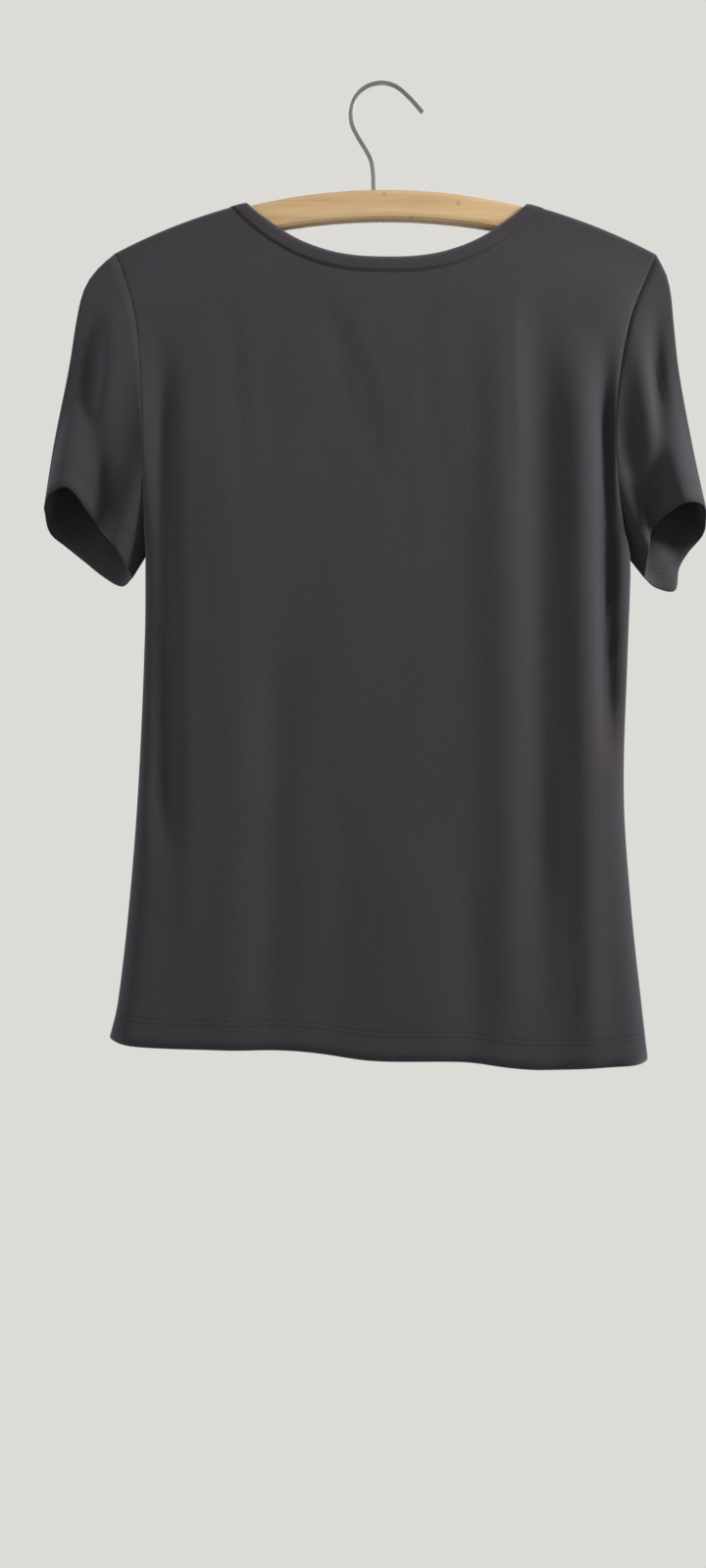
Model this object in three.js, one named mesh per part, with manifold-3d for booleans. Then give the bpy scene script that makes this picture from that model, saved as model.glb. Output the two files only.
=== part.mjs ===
// Short-sleeved V-neck T-shirt hung by its shoulders on an arched wooden hanger with a wire hook.
// Millimetres, +Z up. The origin is the inside of the hook's crown, where the hanger is held.
// +X is the wearer's right as the back of the shirt is looked at, -Y is the side the back panel is on.
import * as THREE from 'three';
import Module from 'manifold-3d';

// ---- cloth ----
const WALL = 1.2;             // thickness of the jersey solid
const SEAM_GAP = 0.3;         // gap between two pieces sewn together
const UNDERARM_GAP = 2.2;     // the same where the seam folds sharply, up to this far from the underarm:
const UNDERARM_REACH = 50;
const NECK_X = 4;             // middle of the neckline
const NECK_HALF = 123;        // neckline seam, half its width at the shoulders
const BACK_DROP = 54;         // back neckline below the neck points
const BACK_ROUND = 2.5;       // how flat the back neckline's scoop is
const VEE_DROP = 218;         // front V below the neck points
const VEE_STRAIGHT = 0.52;    // share of the V's drop that falls evenly, the rest steepens to its point
const VEE_ROUND = 4;
const BAND = 11;              // neckband width
const BAND_WALL = 2;          // the neckband is folded double
const BAND_GAP = 0.6;         // gap between the neckband and the panels, where the neckline bends
const SHOULDER_LIFT = 2.1;    // the shoulder seam above the bar
const SHOULDER_HALF = 8.2;    // half depth of the cloth where it folds over the bar
const SHOULDER_FOLD = 6;      // height of that fold
const SIDE_FOLD = 24;         // reach of the rounding at the side seams
const LEFT_TIP = -211;        // top of the left armhole
const RIGHT_TIP = 217;        // top of the right armhole
const UNDERARM_LEFT = -374;   // height of the left underarm point
const UNDERARM_RIGHT = -376;  // height of the right underarm point

// ---- hanger ----
const BAR_RADIUS = 452;       // radius of the bar's arched top
const BAR_X = 2.3;            // middle of that arc
const BAR_TOP = -84.3;        // highest point of the bar
const BAR_TILT = -1.1;        // degrees the bar hangs out of level
const BAR_HALF_ANGLE = 27.9;  // degrees from the bar's middle to each end
const BAR_TALL = 24;          // height of the bar at the middle
const BAR_TALL_END = 17;      // height of the bar near the ends
const BAR_THICK = 11;         // thickness of the bar
const BAR_EDGE = 4.5;         // rounding of its long edges
const WIRE = 3.2;             // diameter of the hook's wire
const WIRE_HOLE = 3.9;        // hole in the bar for the wire
const WIRE_DEPTH = 16;        // how far the wire goes into the bar

// ---- mesh density ----
// Columns of a panel: share of the shoulder from the armhole in, then share of the neckline's half.
const SHOULDER_COLUMNS = [0, 0.07, 0.18, 0.36, 0.57, 0.79];
const NECK_COLUMNS = [1, 0.985, 0.94, 0.85, 0.7, 0.52, 0.34, 0.17];
const BODY_ROWS = 15;                   // hem to underarm
const ARM_ROWS = 8;                     // underarm to shoulder
const TOP_STEPS = [16, 8, 4, 1.5, 0];   // last rows, measured down from the shoulder
const SLEEVE_STEPS = 8;

// Edges of the body from hem to shoulder tip: the side seam, then the armhole.
// back / front are how far that layer's edge stands from the hanger's plane.
const LEFT_EDGE = [
  { z: -753, x: -214.5, back: 2, front: 2 },
  { z: -728, x: -208.5, back: 2, front: 2 },
  { z: -650, x: -199.5, back: 2, front: 2 },
  { z: -560, x: -192.5, back: 2, front: 2 },
  { z: -440, x: -187.5, back: 2, front: 2 },
  { z: UNDERARM_LEFT, x: -187, back: 2, front: 2 },
  { z: -355, x: -187, back: 7, front: 6 },
  { z: -310, x: -186, back: 20, front: 16 },
  { z: -250, x: -187, back: 22, front: 17 },
  { z: -190, x: -193, back: 16, front: 14 },
  { z: -150, x: -205, back: 9.5, front: 9.5 },
  { z: -136, x: LEFT_TIP, back: 8, front: 8 },
];
const RIGHT_EDGE = [
  { z: -770, x: 209.5, back: 2, front: 2 },
  { z: -740, x: 206, back: 2, front: 2 },
  { z: -650, x: 196.5, back: 2, front: 2 },
  { z: -560, x: 191, back: 2, front: 2 },
  { z: -440, x: 195, back: 2, front: 2 },
  { z: UNDERARM_RIGHT, x: 196.5, back: 2, front: 2 },
  { z: -355, x: 191, back: 6, front: 6 },
  { z: -310, x: 184, back: 15, front: 16 },
  { z: -250, x: 184, back: 16, front: 18 },
  { z: -190, x: 195, back: 11, front: 14 },
  { z: -150, x: 211, back: 8.5, front: 9.5 },
  { z: -137, x: RIGHT_TIP, back: 8, front: 8 },
];

// How far each layer hangs from the hanger's plane, by height.
const DEPTH = [
  { z: -775, back: 34, front: 24 },
  { z: -650, back: 31, front: 23 },
  { z: -500, back: 28, front: 22 },
  { z: -380, back: 25, front: 20 },
  { z: -250, back: 20, front: 17 },
  { z: -180, back: 15.5, front: 14 },
  { z: -140, back: 12, front: 11 },
  { z: -100, back: 9.5, front: 9.5 },
];

// Lower edge of the back and front panels.
const HEM = [
  { x: -215, z: -753 },
  { x: -185, z: -757 },
  { x: -121, z: -759 },
  { x: -64, z: -760 },
  { x: -8, z: -767 },
  { x: 60, z: -768 },
  { x: 116, z: -774 },
  { x: 174, z: -772 },
  { x: 210, z: -770 },
];

// Soft vertical folds. rise is towards the outside of the layer, negative in a valley.
const FOLDS = [
  { layer: 'back', top: -185, xTop: -172, bottom: -640, xBottom: -167, half: 11, rise: -9 },
  { layer: 'back', top: -230, xTop: -120, bottom: -790, xBottom: -112, half: 30, rise: 3.5 },
  { layer: 'back', top: -420, xTop: -82, bottom: -790, xBottom: -90, half: 15, rise: -4 },
  { layer: 'back', top: -150, xTop: 92, bottom: -790, xBottom: 98, half: 17, rise: 5 },
  { layer: 'back', top: -160, xTop: 121, bottom: -700, xBottom: 122, half: 12, rise: -4 },
  { layer: 'back', top: -190, xTop: 153, bottom: -800, xBottom: 158, half: 13, rise: 8 },
  { layer: 'back', top: -190, xTop: 175, bottom: -560, xBottom: 176, half: 9, rise: -15 },
  { layer: 'back', top: -560, xTop: 20, bottom: -800, xBottom: 30, half: 40, rise: 4 },
  { layer: 'front', top: -190, xTop: -165, bottom: -690, xBottom: -158, half: 13, rise: -7 },
  { layer: 'front', top: -330, xTop: -60, bottom: -800, xBottom: -74, half: 24, rise: 4 },
  { layer: 'front', top: -400, xTop: 48, bottom: -790, xBottom: 62, half: 19, rise: -4 },
  { layer: 'front', top: -200, xTop: 168, bottom: -660, xBottom: 162, half: 12, rise: -8 },
  { layer: 'front', top: -300, xTop: 118, bottom: -800, xBottom: 128, half: 22, rise: 4 },
];

// The same down the sleeves, seen from the back: the main valley inside each outer ridge.
const SLEEVE_FOLDS = [
  { left: true, layer: 'back', top: -165, xTop: -226, bottom: -400, xBottom: -226, half: 10, rise: -11 },
  { left: true, layer: 'front', top: -190, xTop: -214, bottom: -400, xBottom: -232, half: 12, rise: -6 },
  { left: false, layer: 'back', top: -160, xTop: 216, bottom: -400, xBottom: 216, half: 8, rise: -11 },
  { left: false, layer: 'front', top: -190, xTop: 212, bottom: -400, xBottom: 228, half: 12, rise: -6 },
];

// Sleeve outlines. part runs around the opening from the top of the arm (0) to the underarm (1).
const LEFT_HEM = [
  { part: 0, bx: -267, by: -3, bz: -337, fx: -267, fy: -3, fz: -337 },
  { part: 0.14, bx: -257, by: -27, bz: -332, fx: -269, fy: 21, fz: -351 },
  { part: 0.3, bx: -240, by: -37, bz: -329, fx: -258, fy: 33, fz: -361 },
  { part: 0.46, bx: -231, by: -17, bz: -341, fx: -243, fy: 35, fz: -373 },
  { part: 0.62, bx: -222, by: -7, bz: -355, fx: -228, fy: 33, fz: -385 },
  { part: 0.8, bx: -207, by: -17, bz: -372, fx: -212, fy: 26, fz: -394 },
  { part: 1, bx: -198, by: 1, bz: -391, fx: -198, fy: 1, fz: -391 },
];
const RIGHT_HEM = [
  { part: 0, bx: 257, by: -3, bz: -339, fx: 257, fy: -3, fz: -339 },
  { part: 0.14, bx: 246, by: -27, bz: -339, fx: 262, fy: 20, fz: -352 },
  { part: 0.3, bx: 230, by: -38, bz: -341, fx: 253, fy: 31, fz: -365 },
  { part: 0.46, bx: 219, by: -19, bz: -347, fx: 246, fy: 35, fz: -378 },
  { part: 0.62, bx: 213, by: -8, bz: -356, fx: 241, fy: 28, fz: -397 },
  { part: 0.8, bx: 209, by: -16, bz: -370, fx: 224, fy: 21, fz: -396 },
  { part: 1, bx: 209, by: 1, bz: -391, fx: 209, fy: 1, fz: -391 },
];
// Line of each sleeve's top from the shoulder tip to the hem.
const LEFT_TOP = [
  { part: 0, x: LEFT_TIP, z: -134.5 },
  { part: 0.08, x: -224, z: -146 },
  { part: 0.15, x: -234, z: -160 },
  { part: 0.25, x: -240, z: -181 },
  { part: 0.45, x: -247, z: -225 },
  { part: 0.75, x: -259, z: -286 },
  { part: 1, x: -267, z: -337 },
];
const RIGHT_TOP = [
  { part: 0, x: RIGHT_TIP, z: -135.5 },
  { part: 0.08, x: 225, z: -151 },
  { part: 0.15, x: 228.5, z: -166 },
  { part: 0.25, x: 230.5, z: -187 },
  { part: 0.45, x: 235, z: -229 },
  { part: 0.75, x: 246, z: -289 },
  { part: 1, x: 257, z: -339 },
];

// Middle line of the hook's wire, from inside the bar round to its free tip.
const HOOK = [
  { x: -8.4, z: -60 },
  { x: -12.6, z: -51.5 },
  { x: -19.5, z: -40 },
  { x: -23.6, z: -31 },
  { x: -24.3, z: -21 },
  { x: -20.6, z: -9.5 },
  { x: -12, z: -1.2 },
  { x: 0, z: 1.8 },
  { x: 11, z: -0.8 },
  { x: 22, z: -9.8 },
  { x: 32.6, z: -21.8 },
];

// ---- small tools ----
const mix = (a, b, t) => a + (b - a) * t;
const clamp01 = (t) => Math.min(1, Math.max(0, t));
const ease = (t) => clamp01(t) ** 2 * (3 - 2 * clamp01(t));
const radians = (degrees) => degrees * Math.PI / 180;

// Smooth value of one column of a table at a place along another.
function along(rows, key, at, column) {
  const rising = rows[rows.length - 1][key] > rows[0][key];
  const order = rising ? rows : [...rows].reverse();
  const place = Math.min(Math.max(at, order[0][key]), order[order.length - 1][key]);
  let i = 0;
  while (i < order.length - 2 && place > order[i + 1][key]) i += 1;
  const slope = (j) => {
    const a = order[Math.max(0, j - 1)];
    const b = order[Math.min(order.length - 1, j + 1)];
    return (b[column] - a[column]) / (b[key] - a[key]);
  };
  const step = order[i + 1][key] - order[i][key];
  const t = (place - order[i][key]) / step;
  const rise = order[i + 1][column] - order[i][column];
  const near = slope(i) * step;
  const far = slope(i + 1) * step;
  return order[i][column] + near * t + (3 * rise - 2 * near - far) * t * t
    + (near + far - 2 * rise) * t * t * t;
}

// Height of the hanger's top, carried on past its ends.
function barTop(x) {
  const reach = Math.min(Math.abs(x - BAR_X), 230);
  return BAR_TOP - BAR_RADIUS + Math.sqrt(BAR_RADIUS ** 2 - reach ** 2);
}

// ---- the hung shirt's middle surface ----
// Place of every column across a panel, from -1 at the left armhole to 1 at the right one.
const PLACES = (() => {
  const across = (x) => (x - LEFT_TIP) / (RIGHT_TIP - LEFT_TIP) * 2 - 1;
  const left = SHOULDER_COLUMNS.map((share) => mix(-1, across(NECK_X - NECK_HALF), share));
  const right = SHOULDER_COLUMNS.map((share) => mix(1, across(NECK_X + NECK_HALF), share));
  const neck = NECK_COLUMNS.map((share) => across(NECK_X - NECK_HALF * share));
  const neckRight = NECK_COLUMNS.map((share) => across(NECK_X + NECK_HALF * share));
  return [...left, ...neck, across(NECK_X), ...neckRight.reverse(), ...right.reverse()];
})();
const COLUMNS = PLACES.length - 1;
const side = (u) => (u + 1) / 2;
const topX = (u) => mix(LEFT_TIP, RIGHT_TIP, side(u));
const NECK_LEFT = barTop(NECK_X - NECK_HALF) + SHOULDER_LIFT;
const NECK_RIGHT = barTop(NECK_X + NECK_HALF) + SHOULDER_LIFT;

// Upper edge of a panel: neckline seam between the neck points, shoulder seam outside them.
function topZ(x, layer) {
  const across = (x - NECK_X) / NECK_HALF;
  if (Math.abs(across) >= 1) return barTop(x) + SHOULDER_LIFT;
  const level = mix(NECK_LEFT, NECK_RIGHT, (across + 1) / 2);
  if (layer === 'back') return level - BACK_DROP * (1 - Math.abs(across) ** BACK_ROUND);
  const run = 1 - Math.abs(across);
  return level - VEE_DROP * mix(run ** VEE_ROUND, run, VEE_STRAIGHT);
}

// Share of the way from hem to shoulder, for one row on one side.
function rowShare(row, edge, underarm) {
  const hem = edge[0].z;
  const tip = edge[edge.length - 1].z;
  if (row <= BODY_ROWS) return (underarm - hem) * row / BODY_ROWS / (tip - hem);
  const from = row - BODY_ROWS;
  const below = TOP_STEPS[0] + 12;
  if (from <= ARM_ROWS) return (underarm - hem + (tip - below - underarm) * from / ARM_ROWS) / (tip - hem);
  return (tip - TOP_STEPS[from - ARM_ROWS - 1] - hem) / (tip - hem);
}
const ROWS = BODY_ROWS + ARM_ROWS + TOP_STEPS.length;

function foldRise(folds, layer, x, z) {
  let sum = 0;
  for (const fold of folds) {
    if (fold.layer !== layer) continue;
    const down = (z - fold.top) / (fold.bottom - fold.top);
    const middle = mix(fold.xTop, fold.xBottom, down);
    const reach = Math.abs(fold.bottom - fold.top);
    const fade = ease(down * reach / 90) * ease((1 - down) * reach / 90);
    sum += fold.rise * fade * Math.exp(-(((x - middle) / fold.half) ** 2));
  }
  return sum;
}

// One point of a body panel.
function bodyPoint(layer, column, row) {
  const u = PLACES[column];
  const leftShare = rowShare(row, LEFT_EDGE, UNDERARM_LEFT);
  const rightShare = rowShare(row, RIGHT_EDGE, UNDERARM_RIGHT);
  const leftZ = mix(LEFT_EDGE[0].z, LEFT_EDGE[LEFT_EDGE.length - 1].z, leftShare);
  const rightZ = mix(RIGHT_EDGE[0].z, RIGHT_EDGE[RIGHT_EDGE.length - 1].z, rightShare);
  const x = mix(along(LEFT_EDGE, 'z', leftZ, 'x'), along(RIGHT_EDGE, 'z', rightZ, 'x'), side(u));
  const hem = along(HEM, 'x', mix(LEFT_EDGE[0].x, RIGHT_EDGE[0].x, side(u)), 'z');
  const top = topZ(topX(u), layer);
  const z = mix(hem, top, mix(leftShare, rightShare, side(u)));
  const edges = u < 0 ? LEFT_EDGE : RIGHT_EDGE;
  const edgeZ = u < 0 ? leftZ : rightZ;
  const edgeDepth = along(edges, 'z', edgeZ, layer);
  const full = along(DEPTH, 'z', z, layer) + foldRise(FOLDS, layer, x, z);
  const half = (RIGHT_TIP - LEFT_TIP) / 2;
  const inward = clamp01((1 - Math.abs(u)) * half / SIDE_FOLD);
  const closing = Math.sqrt(1 - (1 - inward) ** 2);
  const below = Math.max(0, barTop(x) + SHOULDER_LIFT - z);
  const hung = mix(edgeDepth, full, closing);
  const depth = mix(Math.min(SHOULDER_HALF, hung), hung, ease(below / 60))
    * Math.sqrt(1 - (1 - clamp01(below / SHOULDER_FOLD)) ** 2);
  return [x, layer === 'back' ? -depth : depth, z];
}

// One point of a sleeve: k steps round from the top of the arm, m steps out to its hem.
function sleevePoint(isLeft, layer, k, m) {
  const row = ROWS - k;
  const from = bodyPoint(layer, isLeft ? 0 : COLUMNS, row);
  const hems = isLeft ? LEFT_HEM : RIGHT_HEM;
  const over = isLeft ? LEFT_TOP : RIGHT_TOP;
  const edges = isLeft ? LEFT_EDGE : RIGHT_EDGE;
  const share = rowShare(row, edges, isLeft ? UNDERARM_LEFT : UNDERARM_RIGHT);
  const lowest = rowShare(BODY_ROWS, edges, isLeft ? UNDERARM_LEFT : UNDERARM_RIGHT);
  const part = (1 - share) / (1 - lowest);
  const out = m / SLEEVE_STEPS;
  const letter = layer === 'back' ? 'b' : 'f';
  const hem = ['x', 'y', 'z'].map((axis) => along(hems, 'part', part, letter + axis));
  const flat = [0, 1, 2].map((i) => mix(from[i], hem[i], i === 1 ? out ** mix(1.8, 0.7, ease(part / 0.3)) : out));
  const straight = [mix(over[0].x, over[over.length - 1].x, out), mix(over[0].z, over[over.length - 1].z, out)];
  const bulge = (1 - part) ** 2;
  flat[0] += (along(over, 'part', out, 'x') - straight[0]) * bulge;
  flat[2] += (along(over, 'part', out, 'z') - straight[1]) * bulge;
  const folds = SLEEVE_FOLDS.filter((fold) => fold.left === isLeft);
  const rise = foldRise(folds, layer, flat[0], flat[2]) * ease(out * 4) * ease(part * 6) * ease((1 - part) * 4);
  flat[1] += layer === 'back' ? -rise : rise;
  return flat;
}

// ---- one shared set of points, so that seams agree ----
const points = [];
const names = new Map();
function point(name, make) {
  if (!names.has(name)) {
    names.set(name, points.length);
    points.push(make());
  }
  return names.get(name);
}
function bodyName(layer, column, row) {
  const edge = column === 0 || column === COLUMNS;
  const across = Math.abs(topX(PLACES[column]) - NECK_X) / NECK_HALF;
  if (row === ROWS && across >= 1 - 1e-6) return `shoulder ${column}`;
  if (edge && row <= BODY_ROWS) return `side ${column} ${row}`;
  return `${layer} ${column} ${row}`;
}
function bodyAt(layer, column, row) {
  return point(bodyName(layer, column, row), () => {
    const made = bodyPoint(layer, column, row);
    if (bodyName(layer, column, row).startsWith('side')) made[1] = 0;
    if (row === ROWS && Math.abs(topX(PLACES[column]) - NECK_X) / NECK_HALF >= 1 - 1e-6) made[1] = 0;
    return made;
  });
}
function sleeveAt(isLeft, layer, k, m) {
  const count = ROWS - BODY_ROWS;
  if (m === 0) return bodyAt(layer, isLeft ? 0 : COLUMNS, ROWS - k);
  const shared = k === 0 || k === count;
  return point(`sleeve ${isLeft} ${shared ? 'seam' : layer} ${k} ${m}`, () => sleevePoint(isLeft, layer, k, m));
}

// Rows of point numbers, with the outside of the cloth on the same side in every piece.
function bodyGrid(layer) {
  const grid = [];
  for (let row = 0; row <= ROWS; row += 1) {
    const line = [];
    for (let column = 0; column <= COLUMNS; column += 1) line.push(bodyAt(layer, column, row));
    grid.push(layer === 'back' ? line : line.reverse());
  }
  return grid;
}
function sleeveGrid(isLeft) {
  const count = ROWS - BODY_ROWS;
  const grid = [];
  for (let m = 0; m <= SLEEVE_STEPS; m += 1) {
    const line = [];
    for (let k = count; k >= 0; k -= 1) line.push(sleeveAt(isLeft, isLeft ? 'front' : 'back', k, m));
    for (let k = 1; k <= count; k += 1) line.push(sleeveAt(isLeft, isLeft ? 'back' : 'front', k, m));
    grid.push(line);
  }
  return grid.reverse();
}

// ---- normals of the whole shirt, shared by the pieces that meet at a seam ----
const panels = {
  back_panel: bodyGrid('back'),
  front_panel: bodyGrid('front'),
  left_sleeve: sleeveGrid(true),
  right_sleeve: sleeveGrid(false),
};
const minus = (a, b) => a.map((value, i) => value - b[i]);
const plus = (a, b, scale) => a.map((value, i) => value + b[i] * scale);
const cross = (a, b) => [a[1] * b[2] - a[2] * b[1], a[2] * b[0] - a[0] * b[2], a[0] * b[1] - a[1] * b[0]];
const dot = (a, b) => a[0] * b[0] + a[1] * b[1] + a[2] * b[2];
const unit = (a) => a.map((value) => value / Math.hypot(...a));
const normals = points.map(() => [0, 0, 0]);
for (const grid of Object.values(panels)) {
  for (let r = 0; r < grid.length - 1; r += 1) {
    for (let c = 0; c < grid[0].length - 1; c += 1) {
      const corners = [grid[r][c], grid[r][c + 1], grid[r + 1][c + 1], grid[r + 1][c]];
      const [p, q, v, w] = corners.map((id) => points[id]);
      const face = unit(cross(minus(v, p), minus(w, q)));
      for (const id of corners) normals[id] = plus(normals[id], face, 1);
    }
  }
}
normals.forEach((normal, id) => { normals[id] = unit(normal); });

// ---- the neckband: a strip on the neckline seam, turned in over the opening ----
function bandGrid() {
  const seam = [];
  const first = SHOULDER_COLUMNS.length;
  const last = COLUMNS - first;
  for (let column = first; column <= last; column += 1) seam.push(bodyAt('back', column, ROWS));
  for (let column = last - 1; column > first; column -= 1) seam.push(bodyAt('front', column, ROWS));
  const inner = seam.map((id, i) => {
    const here = points[id];
    const next = unit(minus(points[seam[(i + 1) % seam.length]], here));
    const previous = unit(minus(here, points[seam[(i + seam.length - 1) % seam.length]]));
    const run = unit(plus(next, previous, 1));
    const level = unit([Math.sign(NECK_X - here[0]), 0, Math.abs(here[0] - BAR_X) / BAR_RADIUS]);
    const across = Math.abs(here[0] - NECK_X) / NECK_HALF;
    const square = unit(cross(normals[id], run));
    const inward = unit(level.map((value, axis) => mix(value, square[axis], ease((1 - across) / 0.25))));
    points.push(plus(here, inward, BAND / Math.max(0.25, dot(run, next))));
    normals.push(normals[id]);
    return points.length - 1;
  });
  return [[...seam, seam[0]], [...inner, inner[0]]];
}

// ---- solids ----
function solid(vertices, faces) {
  const geometry = new THREE.BufferGeometry();
  geometry.setAttribute('position', new THREE.Float32BufferAttribute(vertices.flat(), 3));
  geometry.setIndex(faces);
  geometry.computeVertexNormals();
  return geometry;
}

// A closed solid of even wall on a grid of points. Every edge is drawn back by half the seam gap.
function clothSolid(grid, wall, seam, ring) {
  const rows = grid.length;
  const columns = ring ? grid[0].length - 1 : grid[0].length;
  const drawn = (r, c) => {
    const here = points[grid[r][c]];
    const towards = [];
    if (r === 0) towards.push(grid[1][c]);
    if (r === rows - 1) towards.push(grid[rows - 2][c]);
    if (!ring && c === 0) towards.push(grid[r][1]);
    if (!ring && c === columns - 1) towards.push(grid[r][columns - 2]);
    const sharp = ease((UNDERARM_LEFT + UNDERARM_REACH - here[2]) / UNDERARM_REACH);
    const gap = ring ? mix(seam, UNDERARM_GAP * 2, sharp) : seam;
    return towards.reduce((at, id) => plus(at, unit(minus(points[id], here)), gap / 2), here);
  };
  const vertices = [];
  for (const out of [wall / 2, -wall / 2]) {
    for (let r = 0; r < rows; r += 1) {
      for (let c = 0; c < columns; c += 1) vertices.push(plus(drawn(r, c), normals[grid[r][c]], out));
    }
  }
  const outer = (r, c) => r * columns + (c % columns);
  const inner = (r, c) => rows * columns + outer(r, c);
  const faces = [];
  const quad = (a, b, c, d) => faces.push(a, b, c, a, c, d);
  const cells = ring ? columns : columns - 1;
  for (let c = 0; c < cells; c += 1) {
    for (let r = 0; r < rows - 1; r += 1) {
      quad(outer(r, c), outer(r, c + 1), outer(r + 1, c + 1), outer(r + 1, c));
      quad(inner(r, c), inner(r + 1, c), inner(r + 1, c + 1), inner(r, c + 1));
    }
    quad(inner(0, c), inner(0, c + 1), outer(0, c + 1), outer(0, c));
    quad(outer(rows - 1, c), outer(rows - 1, c + 1), inner(rows - 1, c + 1), inner(rows - 1, c));
  }
  for (let r = 0; r < rows - 1 && !ring; r += 1) {
    quad(outer(r, 0), outer(r + 1, 0), inner(r + 1, 0), inner(r, 0));
    quad(inner(r, cells), inner(r + 1, cells), outer(r + 1, cells), outer(r, cells));
  }
  return solid(vertices, faces);
}

// Outline of the bar's section at one distance from its end, as [across, down from the top].
function barSection(tall, thick, sink) {
  const edge = Math.min(BAR_EDGE, thick / 2 - 0.05, tall / 2 - 0.05);
  const outline = [];
  const corners = [[1, 0, 0], [1, 1, 90], [-1, 1, 180], [-1, 0, 270]];
  for (const [across, low, turn] of corners) {
    for (const step of [0, 30, 60, 90]) {
      const angle = radians(turn + step - 90);
      const x = across * (thick / 2 - edge) + edge * Math.cos(angle);
      const down = (low ? tall - edge : edge) + edge * Math.sin(angle);
      outline.push([x, down + sink]);
    }
  }
  return outline;
}

function barGeometry() {
  const places = [];
  const reach = radians(BAR_HALF_ANGLE) * BAR_RADIUS;
  for (const end of [0.4, 1.5, 4, 8]) places.push(-reach + end);
  for (let i = -12; i <= 12; i += 1) places.push(i / 12 * (reach - 14));
  for (const end of [8, 4, 1.5, 0.4]) places.push(reach - end);
  const vertices = [];
  const sides = 16;
  for (const place of places) {
    const toEnd = reach - Math.abs(place);
    const nose = Math.sqrt(1 - (1 - clamp01(toEnd / 9)) ** 2);
    const full = mix(BAR_TALL, BAR_TALL_END, (Math.abs(place) / reach) ** 2);
    const tall = full * mix(0.1, 1, nose);
    const angle = radians(BAR_TILT) + place / BAR_RADIUS;
    for (const [across, down] of barSection(tall, BAR_THICK * mix(0.35, 1, nose), (full - tall) / 2)) {
      const radius = BAR_RADIUS - down;
      vertices.push([
        BAR_X + radius * Math.sin(angle),
        across,
        BAR_TOP - BAR_RADIUS + radius * Math.cos(angle),
      ]);
    }
  }
  const faces = [];
  for (let i = 0; i < places.length - 1; i += 1) {
    for (let j = 0; j < sides; j += 1) {
      const a = i * sides + j;
      const b = i * sides + (j + 1) % sides;
      faces.push(a, b + sides, b, a, a + sides, b + sides);
    }
  }
  const end = (places.length - 1) * sides;
  for (let j = 1; j < sides - 1; j += 1) {
    faces.push(0, j, j + 1);
    faces.push(end, end + j + 1, end + j);
  }
  return solid(vertices, faces);
}

// The bar with the hole that the wire stands in.
async function drilledBar() {
  const wasm = await Module();
  wasm.setup();
  const bar = barGeometry();
  const body = new wasm.Manifold(new wasm.Mesh({
    numProp: 3,
    vertProperties: new Float32Array(bar.attributes.position.array),
    triVerts: new Uint32Array(bar.index.array),
  }));
  const drill = wasm.Manifold.cylinder(WIRE_DEPTH + 10, WIRE_HOLE / 2, WIRE_HOLE / 2, 16)
    .translate([0, 0, BAR_RADIUS - WIRE_DEPTH])
    .rotate([0, BAR_TILT, 0])
    .translate([BAR_X, 0, BAR_TOP - BAR_RADIUS]);
  const cut = body.subtract(drill).getMesh();
  const geometry = new THREE.BufferGeometry();
  geometry.setAttribute('position', new THREE.BufferAttribute(new Float32Array(cut.vertProperties), 3));
  geometry.setIndex([...cut.triVerts]);
  geometry.computeVertexNormals();
  return geometry;
}

function hookGeometry() {
  const angle = radians(BAR_TILT);
  const stem = (radius) => new THREE.Vector3(
    BAR_X + radius * Math.sin(angle), 0, BAR_TOP - BAR_RADIUS + radius * Math.cos(angle));
  const bends = HOOK.map(({ x, z }) => new THREE.Vector3(x, 0, z));
  const straight = [1 - WIRE_DEPTH, -2, 6, 12].map((above) => stem(BAR_RADIUS + above));
  const path = new THREE.CatmullRomCurve3([...straight, ...bends], false, 'centripetal');
  const section = new THREE.Shape();
  section.absarc(0, 0, WIRE / 2, 0, Math.PI * 2);
  const wire = new THREE.ExtrudeGeometry(section, {
    steps: 64, curveSegments: 5, bevelEnabled: false, extrudePath: path,
  });
  return wire;
}

// ---- assembly ----
const JERSEY = { color: '#3f3b3f', roughness: 0.95, metalness: 0 };
const WOOD = { color: '#d6b488', roughness: 0.55, metalness: 0 };
const STEEL = { color: '#b9b9b6', roughness: 0.3, metalness: 1 };

const part = new THREE.Group();
function add(name, geometry, finish) {
  const mesh = new THREE.Mesh(geometry, new THREE.MeshStandardMaterial(finish));
  mesh.name = name;
  part.add(mesh);
}
for (const [name, grid] of Object.entries(panels)) {
  add(name, clothSolid(grid, WALL, SEAM_GAP, name.endsWith('sleeve')), JERSEY);
}
add('neckband', clothSolid(bandGrid(), BAND_WALL, BAND_GAP, true), JERSEY);
add('hanger_bar', await drilledBar(), WOOD);
add('hanger_hook', hookGeometry(), STEEL);

export default part;
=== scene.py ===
"""V-neck T-shirt on an arched wooden hanger: cloth, hanger finishes and studio."""
import math

import bpy
import bmesh
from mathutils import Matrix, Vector, noise


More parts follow.
